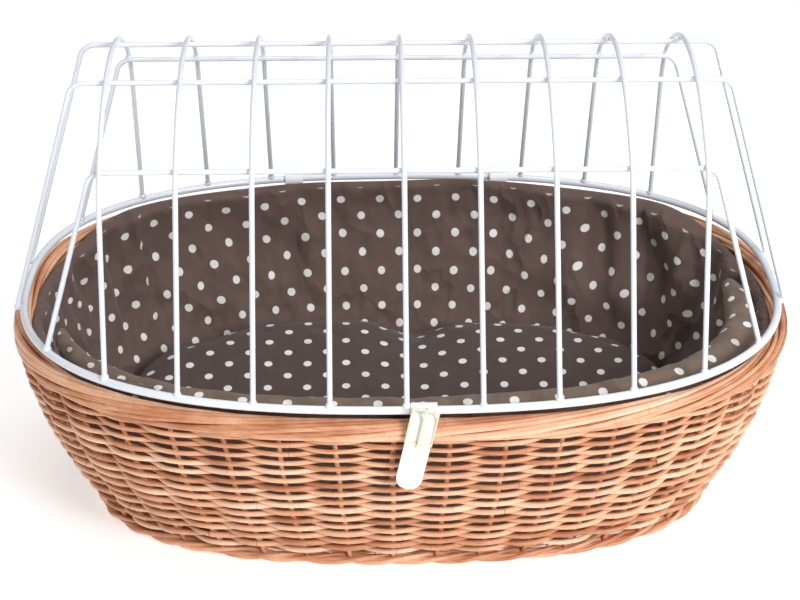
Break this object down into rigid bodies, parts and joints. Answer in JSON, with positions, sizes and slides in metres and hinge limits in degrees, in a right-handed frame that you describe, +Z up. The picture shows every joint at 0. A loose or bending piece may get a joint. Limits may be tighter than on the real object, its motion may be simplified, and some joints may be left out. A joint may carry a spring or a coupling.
{
  "type": "wicker pet bed basket",
  "caption": "Oval wicker pet basket with fabric liner, domed cushion and a white wire cage lid that hinges at the back and closes with a leather strap.",
  "frame": {"origin": "centre of the flat underside of the woven base", "axes": "+X along the basket to the right, -Y the front with the closing strap, +Z up"},
  "size_m": [0.6, 0.4366, 0.365],
  "materials": {
    "willow": "satin peeled willow",
    "liner_fabric": "matt brown cotton with white dots",
    "cushion_fabric": "matt brown cotton with white dots",
    "white_wire": "gloss white plastic coating",
    "white_leather": "smooth white",
    "pale_brass": "bright pale brass"
  },
  "bodies": {
    "basket": {"base_panel": "willow", "base_sticks": "willow", "foot_border": "willow", "wall_weave": "willow", "stakes": "willow", "rim_border": "willow", "liner_floor": "liner_fabric", "liner_wall": "liner_fabric", "liner_roll": "liner_fabric", "hinge_strap_left": "white_leather", "hinge_strap_right": "white_leather", "hinge_rivets": "pale_brass"},
    "cushion": {"cushion": "cushion_fabric"},
    "cage": {"cage_ring": "white_wire", "hoop_1": "white_wire", "hoop_2": "white_wire", "hoop_3": "white_wire", "hoop_4": "white_wire", "hoop_5": "white_wire", "hoop_6": "white_wire", "hoop_7": "white_wire", "hoop_8": "white_wire", "hoop_9": "white_wire", "wire_top_front": "white_wire", "wire_top_back": "white_wire", "wire_side_front": "white_wire", "wire_side_back": "white_wire"},
    "front_strap": {"front_strap": "white_leather", "buckle_frame": "pale_brass"},
    "buckle_prong": {"buckle_prong": "pale_brass"}
  },
  "joints": [
    {"name": "cage_hinge", "type": "hinge", "parent": "basket", "child": "cage", "pos_m": [0, 0.2037, 0.173], "axis": [-1, 0, 0], "range_deg": [0, 105]},
    {"name": "cushion_lift", "type": "slide", "parent": "basket", "child": "cushion", "axis": [0, 0, 1], "range_m": [0, 0.15]},
    {"name": "front_strap_swing", "type": "hinge", "parent": "cage", "child": "front_strap", "pos_m": [0.01205, -0.20797, 0.173], "axis": [-1, 0, 0], "range_deg": [0, 100]},
    {"name": "buckle_prong_hinge", "type": "hinge", "parent": "front_strap", "child": "buckle_prong", "pos_m": [0.01319, -0.21877, 0.17838], "axis": [-0.9781, 0, 0.2079], "range_deg": [0, 75]}
  ]
}
